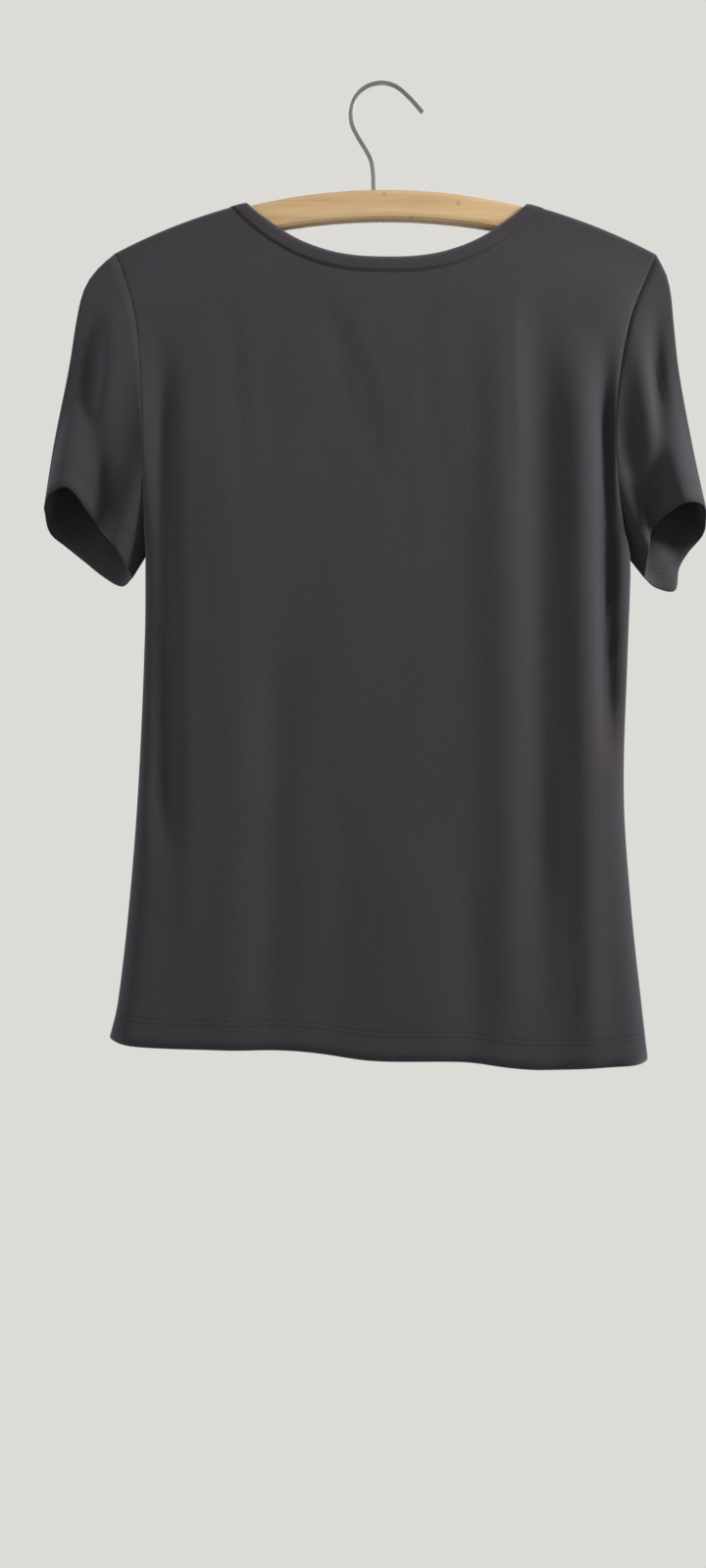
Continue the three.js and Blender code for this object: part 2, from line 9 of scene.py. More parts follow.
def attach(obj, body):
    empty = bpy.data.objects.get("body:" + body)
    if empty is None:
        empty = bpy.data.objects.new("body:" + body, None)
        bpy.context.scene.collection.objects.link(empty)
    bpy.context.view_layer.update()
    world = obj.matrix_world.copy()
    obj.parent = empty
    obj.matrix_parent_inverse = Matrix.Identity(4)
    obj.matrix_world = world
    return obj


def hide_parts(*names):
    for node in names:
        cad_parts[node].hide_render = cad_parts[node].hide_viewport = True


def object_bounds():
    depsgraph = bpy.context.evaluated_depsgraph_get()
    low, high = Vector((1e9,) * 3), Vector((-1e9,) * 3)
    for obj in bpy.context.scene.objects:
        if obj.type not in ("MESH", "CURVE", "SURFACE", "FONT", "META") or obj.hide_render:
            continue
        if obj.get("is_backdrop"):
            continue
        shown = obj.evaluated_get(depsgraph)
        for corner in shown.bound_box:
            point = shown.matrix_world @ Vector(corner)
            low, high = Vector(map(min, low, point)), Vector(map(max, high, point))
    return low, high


bl_info = {
    "name": "Hung V-neck T-shirt",
    "version": (1, 0, 0),
    "blender": (4, 5, 0),
    "location": "View3D > Sidebar > T-shirt",
    "description": "Builds a jersey T-shirt hung on a wooden hanger",
    "category": "Object",
}

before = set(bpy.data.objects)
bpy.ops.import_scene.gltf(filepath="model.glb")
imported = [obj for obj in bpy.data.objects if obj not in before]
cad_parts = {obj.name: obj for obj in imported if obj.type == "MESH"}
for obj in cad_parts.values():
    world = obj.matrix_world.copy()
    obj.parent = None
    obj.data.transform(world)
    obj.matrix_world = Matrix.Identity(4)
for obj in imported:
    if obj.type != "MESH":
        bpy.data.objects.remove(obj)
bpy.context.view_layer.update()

MM = 0.001


def table(columns, *rows):
    """Rows of numbers under named columns."""
    names = columns.split()
    return [dict(zip(names, row)) for row in rows]


# ---- sizes of the hung shirt, in millimetres from the hook's crown ----
NECK_X = 4.0
NECK_HALF = 123.0
BACK_DROP = 54.0
BACK_ROUND = 2.5
VEE_DROP = 218.0
VEE_STRAIGHT = 0.52
VEE_ROUND = 4.0
BAND = 11.0
SHOULDER_LIFT = 2.1
SHOULDER_HALF = 8.2
SHOULDER_FOLD = 6.0
SIDE_FOLD = 24.0
LEFT_TIP = -211.0
RIGHT_TIP = 217.0
UNDERARM_LEFT = -374.0
UNDERARM_RIGHT = -376.0
BAR_RADIUS = 452.0
BAR_X = 2.3
BAR_TOP = -84.3
SEAM_GAP = 0.02
SHOULDER_RUN = 60.0
FOLD_FADE = 90.0
CREASE_FADE = 45.0
SOFT_RISE = 1.1
SOFT_FINE_RISE = 0.35
SLEEVE_SOFT_RISE = 1.6

# Share of the neckband's first cell that is caught below its seam.
BAND_TUCK = 0.4

# Painted shade where the front's band and opening show through the thin back: how dark it is, and the
# share of it on the right arm.
VEE_SHADE = 0.42
VEE_SHADE_RIGHT = 0.35

# ---- sheets as cut, in metres, without what the seams and hems take in ----
BACK_AREA = 0.262
FRONT_AREA = 0.254

# Heights of the stitch rows above each hem, and how far up the hem is folded.
BODY_STITCHES = (0.0185, 0.0225)
BODY_HEM = 0.023
SLEEVE_STITCHES = (0.0165, 0.0205)
SLEEVE_HEM = 0.021
BAND_STITCHES = (0.0014,)

# ---- studio ----
BACKGROUND = (0.72, 0.71, 0.68)
FLOOR_HALF = 0.7
FLOOR_DROP = 1.0
FLOOR_GLOW = 0.7
WORLD_TINT = (0.92, 0.95, 1.0, 1)
WORLD_LIGHT = 0.42
LAMP_TARGET = (0, 0, -0.4)
LAMPS = (
    ("key", (1.5, -0.75, 0.35), 0.45, 36.0),
    ("fill", (-1.4, -0.7, 0.2), 1.0, 6.0),
    ("rim", (0.3, 1.5, 0.5), 1.0, 12.0),
)

# Body edges from hem to shoulder tip: side seam, then armhole.
LEFT_EDGE = table(
    "z x back front",
    (-753, -214.5, 0, 0),
    (-728, -208.5, 0, 0),
    (-650, -199.5, 0, 0),
    (-560, -192.5, 0, 0),
    (-440, -187.5, 0, 0),
    (UNDERARM_LEFT, -187, 0, 0),
    (-355, -187, 7, 6),
    (-310, -186, 20, 16),
    (-250, -187, 22, 17),
    (-190, -193, 16, 14),
    (-150, -205, 9.5, 9.5),
    (-136, LEFT_TIP, 8, 8),
)
RIGHT_EDGE = table(
    "z x back front",
    (-770, 209.5, 0, 0),
    (-740, 206, 0, 0),
    (-650, 196.5, 0, 0),
    (-560, 191, 0, 0),
    (-440, 195, 0, 0),
    (UNDERARM_RIGHT, 196.5, 0, 0),
    (-355, 191, 6, 6),
    (-310, 184, 15, 16),
    (-250, 184, 16, 18),
    (-190, 195, 11, 14),
    (-150, 211, 8.5, 9.5),
    (-137, RIGHT_TIP, 8, 8),
)
# How far each layer hangs from the hanger's plane.
DEPTH = table(
    "z back front",
    (-775, 34, 24),
    (-650, 31, 23),
    (-500, 28, 22),
    (-380, 25, 20),
    (-250, 20, 17),
    (-180, 15.5, 14),
    (-140, 12, 11),
    (-100, 9.5, 9.5),
)
# Lower edge of both panels.
HEM = table(
    "x z",
    (-215, -753),
    (-185, -757),
    (-121, -759),
    (-64, -760),
    (-8, -767),
    (60, -768),
    (116, -774),
    (174, -772),
    (210, -770),
)
# Main soft folds, a rise in each row: positive stands out, negative is a valley.
FOLDS = table(
    "back top x_top bottom x_bottom half rise",
    (1, -185, -172, -640, -167, 11, -9),
    (1, -230, -120, -790, -112, 30, 3.5),
    (1, -420, -82, -790, -90, 15, -4),
    (1, -150, 92, -790, 98, 17, 5),
    (1, -160, 121, -700, 122, 12, -4),
    (1, -190, 153, -800, 158, 13, 8),
    (1, -190, 175, -560, 176, 9, -15),
    (1, -560, 20, -800, 30, 40, 4),
    (0, -190, -165, -690, -158, 13, -7),
    (0, -330, -60, -800, -74, 24, 4),
    (0, -400, 48, -790, 62, 19, -4),
    (0, -200, 168, -660, 162, 12, -8),
    (0, -300, 118, -800, 128, 22, 4),
)
# Smaller creases: faint drag lines, gathers under the arms and ripples by the hem.
CREASES = table(
    "back top x_top bottom x_bottom half rise",
    (1, -150, 34, -330, 40, 7, -0.9),
    (1, -158, -42, -300, -20, 8, -1.0),
    (1, -170, -118, -360, -108, 7, -1.2),
    (1, -165, 104, -330, 106, 5, 1.2),
    (1, -200, 132, -420, 134, 6, -1.3),
    (1, -380, 200, -470, 174, 5, -3.0),
    (1, -395, 194, -450, 181, 4, 2.2),
    (1, -420, 199, -520, 172, 7, -2.4),
    (1, -380, -190, -470, -172, 6, -1.8),
    (1, -400, -152, -700, -146, 8, 1.6),
    (1, -560, -30, -790, -36, 14, -1.6),
    (1, -600, 62, -790, 70, 12, -1.8),
    (1, -500, 136, -770, 138, 8, 1.6),
    (0, -180, -130, -360, -112, 8, -1.4),
    (0, -190, 132, -380, 112, 9, -1.6),
    (0, -320, 8, -520, 2, 10, -1.6),
    (0, -330, -22, -470, -40, 7, 1.2),
    (0, -380, 196, -480, 168, 6, -2.6),
    (0, -380, -188, -470, -166, 6, -2.2),
    (0, -560, 92, -790, 100, 12, -2.0),
    (0, -600, -118, -790, -124, 14, 2.2),
)
# The same down the sleeves: the main valley inside each outer ridge.
SLEEVE_FOLDS = table(
    "left back top x_top bottom x_bottom half rise",
    (1, 1, -165, -226, -400, -226, 10, -11),
    (1, 0, -190, -214, -400, -232, 12, -6),
    (0, 1, -160, 216, -400, 216, 8, -11),
    (0, 0, -190, 212, -400, 228, 12, -6),
)
SLEEVE_COLUMNS = "part bx by bz fx fy fz"
LEFT_CUFF = table(
    SLEEVE_COLUMNS,
    (0, -267, -3, -337, -267, -3, -337),
    (0.14, -257, -27, -332, -269, 21, -351),
    (0.3, -240, -37, -329, -258, 33, -361),
    (0.46, -231, -17, -341, -243, 35, -373),
    (0.62, -222, -7, -355, -228, 33, -385),
    (0.8, -207, -17, -372, -212, 26, -394),
    (1, -198, 1, -391, -198, 1, -391),
)
RIGHT_CUFF = table(
    SLEEVE_COLUMNS,
    (0, 257, -3, -339, 257, -3, -339),
    (0.14, 246, -27, -339, 262, 20, -352),
    (0.3, 230, -38, -341, 253, 31, -365),
    (0.46, 219, -19, -347, 246, 35, -378),
    (0.62, 213, -8, -356, 241, 28, -397),
    (0.8, 209, -16, -370, 224, 21, -396),
    (1, 209, 1, -391, 209, 1, -391),
)
LEFT_TOP = table(
    "part x z",
    (0, LEFT_TIP, -134.5),
    (0.08, -224, -146),
    (0.15, -234, -160),
    (0.25, -240, -181),
    (0.45, -247, -225),
    (0.75, -259, -286),
    (1, -267, -337),
)
RIGHT_TOP = table(
    "part x z",
    (0, RIGHT_TIP, -135.5),
    (0.08, 225, -151),
    (0.15, 228.5, -166),
    (0.25, 230.5, -187),
    (0.45, 235, -229),
    (0.75, 246, -289),
    (1, 257, -339),
)

# Share of the shoulder, then of the neckline's half, where the cloth bends most.
SHOULDER_COLUMNS = (0, 0.07, 0.18, 0.36, 0.57, 0.79)
NECK_COLUMNS = (1, 0.985, 0.94, 0.85, 0.7, 0.52, 0.34, 0.17)
BODY_ROWS = 15
ARM_ROWS = 8
TOP_STEPS = (16, 8, 4, 1.5, 0)
ROWS = BODY_ROWS + ARM_ROWS + len(TOP_STEPS)
SLEEVE_STEPS = 8


# ---- small tools ----
def mix(a, b, t):
    return a + (b - a) * t


def clamp01(t):
    return min(1.0, max(0.0, t))


def ease(t):
    t = clamp01(t)
    return t * t * (3 - 2 * t)


def along(rows, key, at, column):
    """Smooth value of one column of a table at a place along another."""
    order = rows if rows[-1][key] > rows[0][key] else rows[::-1]
    place = min(max(at, order[0][key]), order[-1][key])
    i = 0
    while i < len(order) - 2 and place > order[i + 1][key]:
        i += 1

    def slope(j):
        a = order[max(0, j - 1)]
        b = order[min(len(order) - 1, j + 1)]
        return (b[column] - a[column]) / (b[key] - a[key])

    step = order[i + 1][key] - order[i][key]
    t = (place - order[i][key]) / step
    rise = order[i + 1][column] - order[i][column]
    near = slope(i) * step
    far = slope(i + 1) * step
    return (order[i][column] + near * t + (3 * rise - 2 * near - far) * t * t
            + (near + far - 2 * rise) * t * t * t)


def bar_top(x):
    """Height of the hanger's top, carried on past its ends."""
    reach = min(abs(x - BAR_X), 230)
    return BAR_TOP - BAR_RADIUS + math.sqrt(BAR_RADIUS ** 2 - reach ** 2)


# ---- the hung surface ----
NECK_LEFT = bar_top(NECK_X - NECK_HALF) + SHOULDER_LIFT
NECK_RIGHT = bar_top(NECK_X + NECK_HALF) + SHOULDER_LIFT


def across_of(x):
    return (x - LEFT_TIP) / (RIGHT_TIP - LEFT_TIP) * 2 - 1


def column_places():
    """Place of every column, from -1 at the left armhole to 1 at the right."""
    left = [mix(-1, across_of(NECK_X - NECK_HALF), s) for s in SHOULDER_COLUMNS]
    right = [mix(1, across_of(NECK_X + NECK_HALF), s) for s in SHOULDER_COLUMNS]
    neck = [across_of(NECK_X - NECK_HALF * s) for s in NECK_COLUMNS]
    neck_right = [across_of(NECK_X + NECK_HALF * s) for s in NECK_COLUMNS]
    return left + neck + [across_of(NECK_X)] + neck_right[::-1] + right[::-1]


PLACES = column_places()
COLUMNS = len(PLACES) - 1


def between(values, at):
    i = min(int(at), len(values) - 2)
    return mix(values[i], values[i + 1], at - i)


def top_x(u):
    return mix(LEFT_TIP, RIGHT_TIP, (u + 1) / 2)


def top_z(x, back):
    across = (x - NECK_X) / NECK_HALF
    if abs(across) >= 1:
        return bar_top(x) + SHOULDER_LIFT
    level = mix(NECK_LEFT, NECK_RIGHT, (across + 1) / 2)
    if back:
        return level - BACK_DROP * (1 - abs(across) ** BACK_ROUND)
    run = 1 - abs(across)
    return level - VEE_DROP * mix(run ** VEE_ROUND, run, VEE_STRAIGHT)


def row_shares(edge, underarm):
    """Share of the way from hem to shoulder tip, row by row."""
    hem = edge[0]["z"]
    tip = edge[-1]["z"]
    shares = [(underarm - hem) * r / BODY_ROWS for r in range(BODY_ROWS + 1)]
    below = TOP_STEPS[0] + 12
    for r in range(1, ARM_ROWS + 1):
        shares.append(underarm - hem + (tip - below - underarm) * r / ARM_ROWS)
    shares += [tip - step - hem for step in TOP_STEPS]
    return [share / (tip - hem) for share in shares]


LEFT_SHARES = row_shares(LEFT_EDGE, UNDERARM_LEFT)
RIGHT_SHARES = row_shares(RIGHT_EDGE, UNDERARM_RIGHT)


def fold_rise(rows, back, x, z, fade_length):
    total = 0.0
    for fold in rows:
        if fold["back"] != back:
            continue
        reach = fold["top"] - fold["bottom"]
        down = (fold["top"] - z) / reach
        if not 0 < down < 1:
            continue
        middle = mix(fold["x_top"], fold["x_bottom"], down)
        fade = ease(down * reach / fade_length) * ease((1 - down) * reach / fade_length)
        total += fold["rise"] * fade * math.exp(-(((x - middle) / fold["half"]) ** 2))
    return total


def softness(back, x, z):
    """Slight unevenness of limp jersey."""
    seed = Vector((x / 46, z / 150, 3.7 if back else 9.1))
    fine = Vector((x / 17, z / 60, 1.3 if back else 6.2))
    return SOFT_RISE * noise.noise(seed) + SOFT_FINE_RISE * noise.noise(fine)


def body_point(back, column, row):
    u = between(PLACES, column)
    left_share = between(LEFT_SHARES, row)
    right_share = between(RIGHT_SHARES, row)
    left_z = mix(LEFT_EDGE[0]["z"], LEFT_EDGE[-1]["z"], left_share)
    right_z = mix(RIGHT_EDGE[0]["z"], RIGHT_EDGE[-1]["z"], right_share)
    side = (u + 1) / 2
    x = mix(along(LEFT_EDGE, "z", left_z, "x"), along(RIGHT_EDGE, "z", right_z, "x"), side)
    hem = along(HEM, "x", mix(LEFT_EDGE[0]["x"], RIGHT_EDGE[0]["x"], side), "z")
    z = mix(hem, top_z(top_x(u), back), mix(left_share, right_share, side))
    layer = "back" if back else "front"
    edges, edge_z = (LEFT_EDGE, left_z) if u < 0 else (RIGHT_EDGE, right_z)
    edge_depth = max(0.0, along(edges, "z", edge_z, layer))
    if row <= BODY_ROWS:
        edge_depth = 0.0
    full = along(DEPTH, "z", z, layer) + fold_rise(FOLDS, back, x, z, FOLD_FADE)
    full += fold_rise(CREASES, back, x, z, CREASE_FADE) + softness(back, x, z) * ease((-z - 120) / 80)
    inward = clamp01((1 - abs(u)) * (RIGHT_TIP - LEFT_TIP) / 2 / SIDE_FOLD)
    hung = mix(edge_depth, full, math.sqrt(1 - (1 - inward) ** 2))
    below = max(0.0, bar_top(x) + SHOULDER_LIFT - z)
    depth = mix(min(SHOULDER_HALF, hung), hung, ease(below / SHOULDER_RUN))
    depth *= math.sqrt(1 - (1 - clamp01(below / SHOULDER_FOLD)) ** 2)
    return Vector((x, -depth if back else depth, z))


def sleeve_point(is_left, back, around, out):
    """around runs from the arm's top row to the underarm, out from armhole to hem."""
    row = ROWS - around
    start = body_point(back, 0 if is_left else COLUMNS, row)
    shares = LEFT_SHARES if is_left else RIGHT_SHARES
    cuff = LEFT_CUFF if is_left else RIGHT_CUFF
    over = LEFT_TOP if is_left else RIGHT_TOP
    part = (1 - between(shares, row)) / (1 - shares[BODY_ROWS])
    letter = "b" if back else "f"
    end = [along(cuff, "part", part, letter + axis) for axis in "xyz"]
    bend = out ** mix(1.8, 0.7, ease(part / 0.3))
    x = mix(start.x, end[0], out)
    y = mix(start.y, end[1], bend)
    z = mix(start.z, end[2], out)
    bulge = (1 - part) ** 2
    x += (along(over, "part", out, "x") - mix(over[0]["x"], over[-1]["x"], out)) * bulge
    z += (along(over, "part", out, "z") - mix(over[0]["z"], over[-1]["z"], out)) * bulge
    folds = [fold for fold in SLEEVE_FOLDS if fold["left"] == is_left]
    rise = fold_rise(folds, back, x, z, FOLD_FADE)
    rise *= ease(out * 4) * ease(part * 6) * ease((1 - part) * 4)
    y += -rise if back else rise
    wave = math.sin(math.pi * clamp01(part)) * ease(out * 3)
    y += wave * SLEEVE_SOFT_RISE * noise.noise(Vector((x / 20, z / 60, 5.5 if back else 2.5)))
    return Vector((x, y, z))


# ---- meshes ----
def grid_piece(name, wide, tall, place, loose, ring=False):
    """A sheet of wide by tall cells whose points place(i, j) gives, in millimetres.

    loose names the edges that meet another piece and are drawn back by half the seam gap.
    """
    bm = bmesh.new()
    uv = bm.loops.layers.uv.new("cut")
    bmesh.ops.create_grid(bm, x_segments=wide, y_segments=tall, size=0.5)
    spots = {}
    for vert in bm.verts:
        spots[vert] = (round((vert.co.x + 0.5) * wide), round((vert.co.y + 0.5) * tall))
    points = {spot: place(*spot) for spot in spots.values()}

    def drawn(i, j):
        here = points[i, j]
        moved = here.copy()
        neighbours = []
        if "left" in loose and i == 0:
            neighbours.append((1, j))
        if "right" in loose and i == wide:
            neighbours.append((wide - 1, j))
        if "top" in loose and j == tall:
            neighbours.append((i, tall - 1))
        if "bottom" in loose and j == 0:
            neighbours.append((i, 1))
        for spot in neighbours:
            moved += (points[spot] - here).normalized() * SEAM_GAP / 2
        return moved

    widest = [0.0]
    for i in range(wide):
        widest.append(widest[-1] + (points[i + 1, 0] - points[i, 0]).length)
    heights = {}
    for i in range(wide + 1):
        run = 0.0
        heights[i, 0] = 0.0
        for j in range(tall):
            run += (points[i, j + 1] - points[i, j]).length
            heights[i, j + 1] = run
    for face in bm.faces:
        for loop in face.loops:
            i, j = spots[loop.vert]
            loop[uv].uv = (widest[i] * MM, heights[i, j] * MM)
    for vert, spot in spots.items():
        vert.co = drawn(*spot) * MM
    if ring:
        bmesh.ops.remove_doubles(bm, verts=bm.verts, dist=1e-6)
    for face in bm.faces:
        face.smooth = True
    mesh = bpy.data.meshes.new(name)
    bm.to_mesh(mesh)
    bm.free()
    piece = bpy.data.objects.new(name, mesh)
    bpy.context.scene.collection.objects.link(piece)
    return piece


def finish_cloth(piece, node, thickness, finish):
    wall = piece.modifiers.new("wall", "SOLIDIFY")
    wall.thickness = thickness
    wall.offset = 0.0
    wall.use_even_offset = False
    piece.data.materials.append(finish)
    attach(piece, "root")
    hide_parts(node)


# ---- materials ----
def new_material(name):
    material = bpy.data.materials.new(name)
    material.use_nodes = True
    tree = material.node_tree
    return material, tree, tree.nodes["Principled BSDF"]


def node(tree, kind, **settings):
    made = tree.nodes.new(kind)
    for key, value in settings.items():
        if key in made.inputs:
            made.inputs[key].default_value = value
        else:
            setattr(made, key, value)
    return made


def link(tree, source, target):
    tree.links.new(source, target)


def sums(tree, operation, a, b):
    """A maths node on sockets or numbers."""
    made = tree.nodes.new("ShaderNodeMath")
    made.operation = operation
    for socket, value in zip(made.inputs, (a, b)):
        if isinstance(value, (int, float)):
            socket.default_value = value
        else:
            link(tree, value, socket)
    return made.outputs[0]


def blend_colour(tree, factor, first, second, mode="MIX"):
    made = tree.nodes.new("ShaderNodeMix")
    made.data_type = "RGBA"
    made.blend_type = mode
    for socket, value in zip((made.inputs[0], made.inputs[6], made.inputs[7]), (factor, first, second)):
        if isinstance(value, (int, float, tuple)):
            socket.default_value = value
        else:
            link(tree, value, socket)
    return made.outputs[2]


def near_line(tree, distance, at, half):
    """One inside a line of the given half width, fading to none at its edges."""
    offset = sums(tree, "ABSOLUTE", sums(tree, "SUBTRACT", distance, at), 0)
    return sums(tree, "MAXIMUM", sums(tree, "SUBTRACT", 1, sums(tree, "DIVIDE", offset, half)), 0)


def jersey_material(name, look, stitch_rows, hem_depth):
    """Thin charcoal jersey with wales, slubs, soft sheen and rows of stitching at set heights."""
    material, tree, shader = new_material(name)
    coordinates = node(tree, "ShaderNodeTexCoord")
    apart = node(tree, "ShaderNodeSeparateXYZ")
    link(tree, coordinates.outputs["UV"], apart.inputs[0])
    across, up = apart.outputs[0], apart.outputs[1]

    cloud = node(tree, "ShaderNodeTexNoise", Scale=9.0, Detail=3.0, Roughness=0.5)
    slub = node(tree, "ShaderNodeTexNoise", Scale=420.0, Detail=2.0, Roughness=0.6)
    stretch = node(tree, "ShaderNodeMapping")
    stretch.inputs["Scale"].default_value = (1.0, 1.0, 0.35)
    link(tree, coordinates.outputs["Object"], stretch.inputs["Vector"])
    link(tree, stretch.outputs[0], cloud.inputs["Vector"])
    link(tree, stretch.outputs[0], slub.inputs["Vector"])

    warm = blend_colour(tree, cloud.outputs["Fac"], (*look.dye_cool, 1), (*look.dye_warm, 1))
    flecks = sums(tree, "MULTIPLY", slub.outputs["Fac"], 0.35)
    dark = blend_colour(tree, flecks, warm, (0.02, 0.018, 0.02, 1))

    wales = node(tree, "ShaderNodeTexWave", wave_type="BANDS", Scale=2.6, Distortion=0.6)
    wales.bands_direction = "X"
    courses = node(tree, "ShaderNodeTexWave", wave_type="BANDS", Scale=3.4, Distortion=0.8)
    courses.bands_direction = "Y"
    fine = node(tree, "ShaderNodeMapping")
    fine.inputs["Scale"].default_value = (120.0, 120.0, 120.0)
    link(tree, coordinates.outputs["UV"], fine.inputs["Vector"])
    link(tree, fine.outputs[0], wales.inputs["Vector"])
    link(tree, fine.outputs[0], courses.inputs["Vector"])
    knit = sums(tree, "ADD", wales.outputs["Fac"], sums(tree, "MULTIPLY", courses.outputs["Fac"], 0.5))
    height = sums(tree, "ADD", knit, sums(tree, "MULTIPLY", slub.outputs["Fac"], 1.2))

    ticks = sums(tree, "SINE", sums(tree, "MULTIPLY", across, look.stitches_per_metre * math.tau), 0)
    ticks = sums(tree, "ADD", sums(tree, "MULTIPLY", ticks, 0.35), 0.65)
    thread = None
    for at in stitch_rows:
        line = near_line(tree, up, at, 0.0011)
        thread = line if thread is None else sums(tree, "MAXIMUM", thread, line)
    if thread is not None:
        stitched = sums(tree, "MULTIPLY", thread, ticks)
        dark = blend_colour(tree, sums(tree, "MULTIPLY", stitched, 0.55), dark, (0.016, 0.015, 0.017, 1))
        height = sums(tree, "SUBTRACT", height, sums(tree, "MULTIPLY", thread, 4.0))
    if hem_depth:
        folded = sums(tree, "LESS_THAN", up, hem_depth)
        height = sums(tree, "ADD", height, sums(tree, "MULTIPLY", folded, 1.5))
    # Painted shade: the back's colour is darkened along the band where the front's neckband shows through.
    if name == "jersey_back":
        shown = node(tree, "ShaderNodeAttribute", attribute_name="through")
        dark = blend_colour(tree, shown.outputs["Fac"], dark, (0.6, 0.6, 0.62, 1), "MULTIPLY")
    link(tree, dark, shader.inputs["Base Color"])

    bump = node(tree, "ShaderNodeBump", Strength=0.35, Distance=0.00012)
    link(tree, height, bump.inputs["Height"])
    link(tree, bump.outputs[0], shader.inputs["Normal"])
    shader.inputs["Roughness"].default_value = 0.92
    shader.inputs["Sheen Weight"].default_value = look.sheen
    shader.inputs["Sheen Roughness"].default_value = 0.45
    shader.inputs["Sheen Tint"].default_value = (0.82, 0.86, 0.95, 1)
    shader.inputs["Specular IOR Level"].default_value = 0.25
    return material


def wood_material():
    """Light varnished beech: long grain, faint rings and a few dark specks."""
    material, tree, shader = new_material("varnished_wood")
    coordinates = node(tree, "ShaderNodeTexCoord")
    along_grain = node(tree, "ShaderNodeMapping")
    along_grain.inputs["Scale"].default_value = (3.0, 30.0, 42.0)
    link(tree, coordinates.outputs["Object"], along_grain.inputs["Vector"])
    grain = node(tree, "ShaderNodeTexNoise", Scale=3.0, Detail=6.0, Roughness=0.62)
    pores = node(tree, "ShaderNodeTexNoise", Scale=26.0, Detail=2.0, Roughness=0.5)
    link(tree, along_grain.outputs[0], grain.inputs["Vector"])
    link(tree, along_grain.outputs[0], pores.inputs["Vector"])
    tone = node(tree, "ShaderNodeValToRGB")
    tone.color_ramp.elements[0].position = 0.3
    tone.color_ramp.elements[0].color = (0.53, 0.335, 0.155, 1)
    tone.color_ramp.elements[1].position = 0.68
    tone.color_ramp.elements[1].color = (0.72, 0.505, 0.265, 1)
    link(tree, grain.outputs["Fac"], tone.inputs["Fac"])
    specks = node(tree, "ShaderNodeTexVoronoi", Scale=42.0)
    link(tree, coordinates.outputs["Object"], specks.inputs["Vector"])
    dots = sums(tree, "LESS_THAN", specks.outputs["Distance"], 0.09)
    speckled = sums(tree, "MULTIPLY", dots, 0.35)
    spotted = blend_colour(tree, speckled, tone.outputs["Color"], (0.3, 0.16, 0.07, 1))
    porous = sums(tree, "MULTIPLY", pores.outputs["Fac"], 0.18)
    link(tree, blend_colour(tree, porous, spotted, (0.45, 0.27, 0.12, 1)), shader.inputs["Base Color"])
    bump = node(tree, "ShaderNodeBump", Strength=0.15, Distance=0.0004)
    link(tree, grain.outputs["Fac"], bump.inputs["Height"])
    link(tree, bump.outputs[0], shader.inputs["Normal"])
    shader.inputs["Roughness"].default_value = 0.42
    shader.inputs["Coat Weight"].default_value = 0.25
    shader.inputs["Coat Roughness"].default_value = 0.2
    return material


def steel_material():
    """Bright plated wire with faint draw marks."""
    material, tree, shader = new_material("plated_wire")
    coordinates = node(tree, "ShaderNodeTexCoord")
    marks = node(tree, "ShaderNodeTexNoise", Scale=300.0, Detail=3.0, Roughness=0.6)
    link(tree, coordinates.outputs["Object"], marks.inputs["Vector"])
    tone = blend_colour(tree, marks.outputs["Fac"], (0.3, 0.3, 0.295, 1), (0.46, 0.46, 0.45, 1))
    link(tree, tone, shader.inputs["Base Color"])
    bump = node(tree, "ShaderNodeBump", Strength=0.1, Distance=0.0001)
    link(tree, marks.outputs["Fac"], bump.inputs["Height"])
    link(tree, bump.outputs[0], shader.inputs["Normal"])
    shader.inputs["Metallic"].default_value = 1.0
    shader.inputs["Roughness"].default_value = 0.28
    return material


def sweep_material(colour):
    """A pale floor that is seen as one tone with the background."""
    material, tree, shader = new_material("pale_floor")
    shader.inputs["Base Color"].default_value = (*colour, 1)
    shader.inputs["Roughness"].default_value = 0.9
    seen = node(tree, "ShaderNodeEmission", Strength=1.0)
    seen.inputs["Color"].default_value = (*colour, 1)
    path = node(tree, "ShaderNodeLightPath")
    part = sums(tree, "MULTIPLY", path.outputs["Is Camera Ray"], FLOOR_GLOW)
    choose = node(tree, "ShaderNodeMixShader")
    link(tree, part, choose.inputs[0])
    link(tree, shader.outputs[0], choose.inputs[1])
    link(tree, seen.outputs[0], choose.inputs[2])
    link(tree, choose.outputs[0], tree.nodes["Material Output"].inputs["Surface"])
    return material


# ---- settings ----
class TShirtClothSettings(bpy.types.PropertyGroup):
    """Sizes of the sewn cloth."""
    wall: bpy.props.FloatProperty(
        name="Jersey", description="Thickness of the jersey", default=0.0009, unit="LENGTH")
    band_wall: bpy.props.FloatProperty(
        name="Neckband", description="Thickness of the folded neckband", default=0.0018, unit="LENGTH")
    fineness: bpy.props.IntProperty(
        name="Fineness", description="Cells of the mesh between two rows of the pattern", default=3, min=1)


class TShirtLookSettings(bpy.types.PropertyGroup):
    """Colour and stitching of the cloth."""
    dye_warm: bpy.props.FloatVectorProperty(
        name="Warm dye", description="Reddish side of the charcoal", subtype="COLOR",
        default=(0.051, 0.040, 0.044))
    dye_cool: bpy.props.FloatVectorProperty(
        name="Cool dye", description="Bluish side of the charcoal", subtype="COLOR",
        default=(0.040, 0.040, 0.044))
    sheen: bpy.props.FloatProperty(
        name="Sheen", description="Soft light on the nap", default=0.22, min=0, max=1)
    stitches_per_metre: bpy.props.FloatProperty(
        name="Stitches", description="Stitches in a metre of seam", default=340.0)


class TShirtStageSettings(bpy.types.PropertyGroup):
    """Where the shirt is looked at from."""
    distance: bpy.props.FloatProperty(
        name="Distance", description="Camera in front of the hanger's plane", default=0.9, unit="LENGTH")
    height: bpy.props.FloatProperty(
        name="Height", description="Camera below the hook's crown", default=0.5554, unit="LENGTH")
    sideways: bpy.props.FloatProperty(
        name="Sideways", description="Camera to the left of the hook", default=0.0226, unit="LENGTH")
    lens: bpy.props.FloatProperty(
        name="Lens", description="Focal length on a 36 mm sensor, in millimetres", default=26.0)


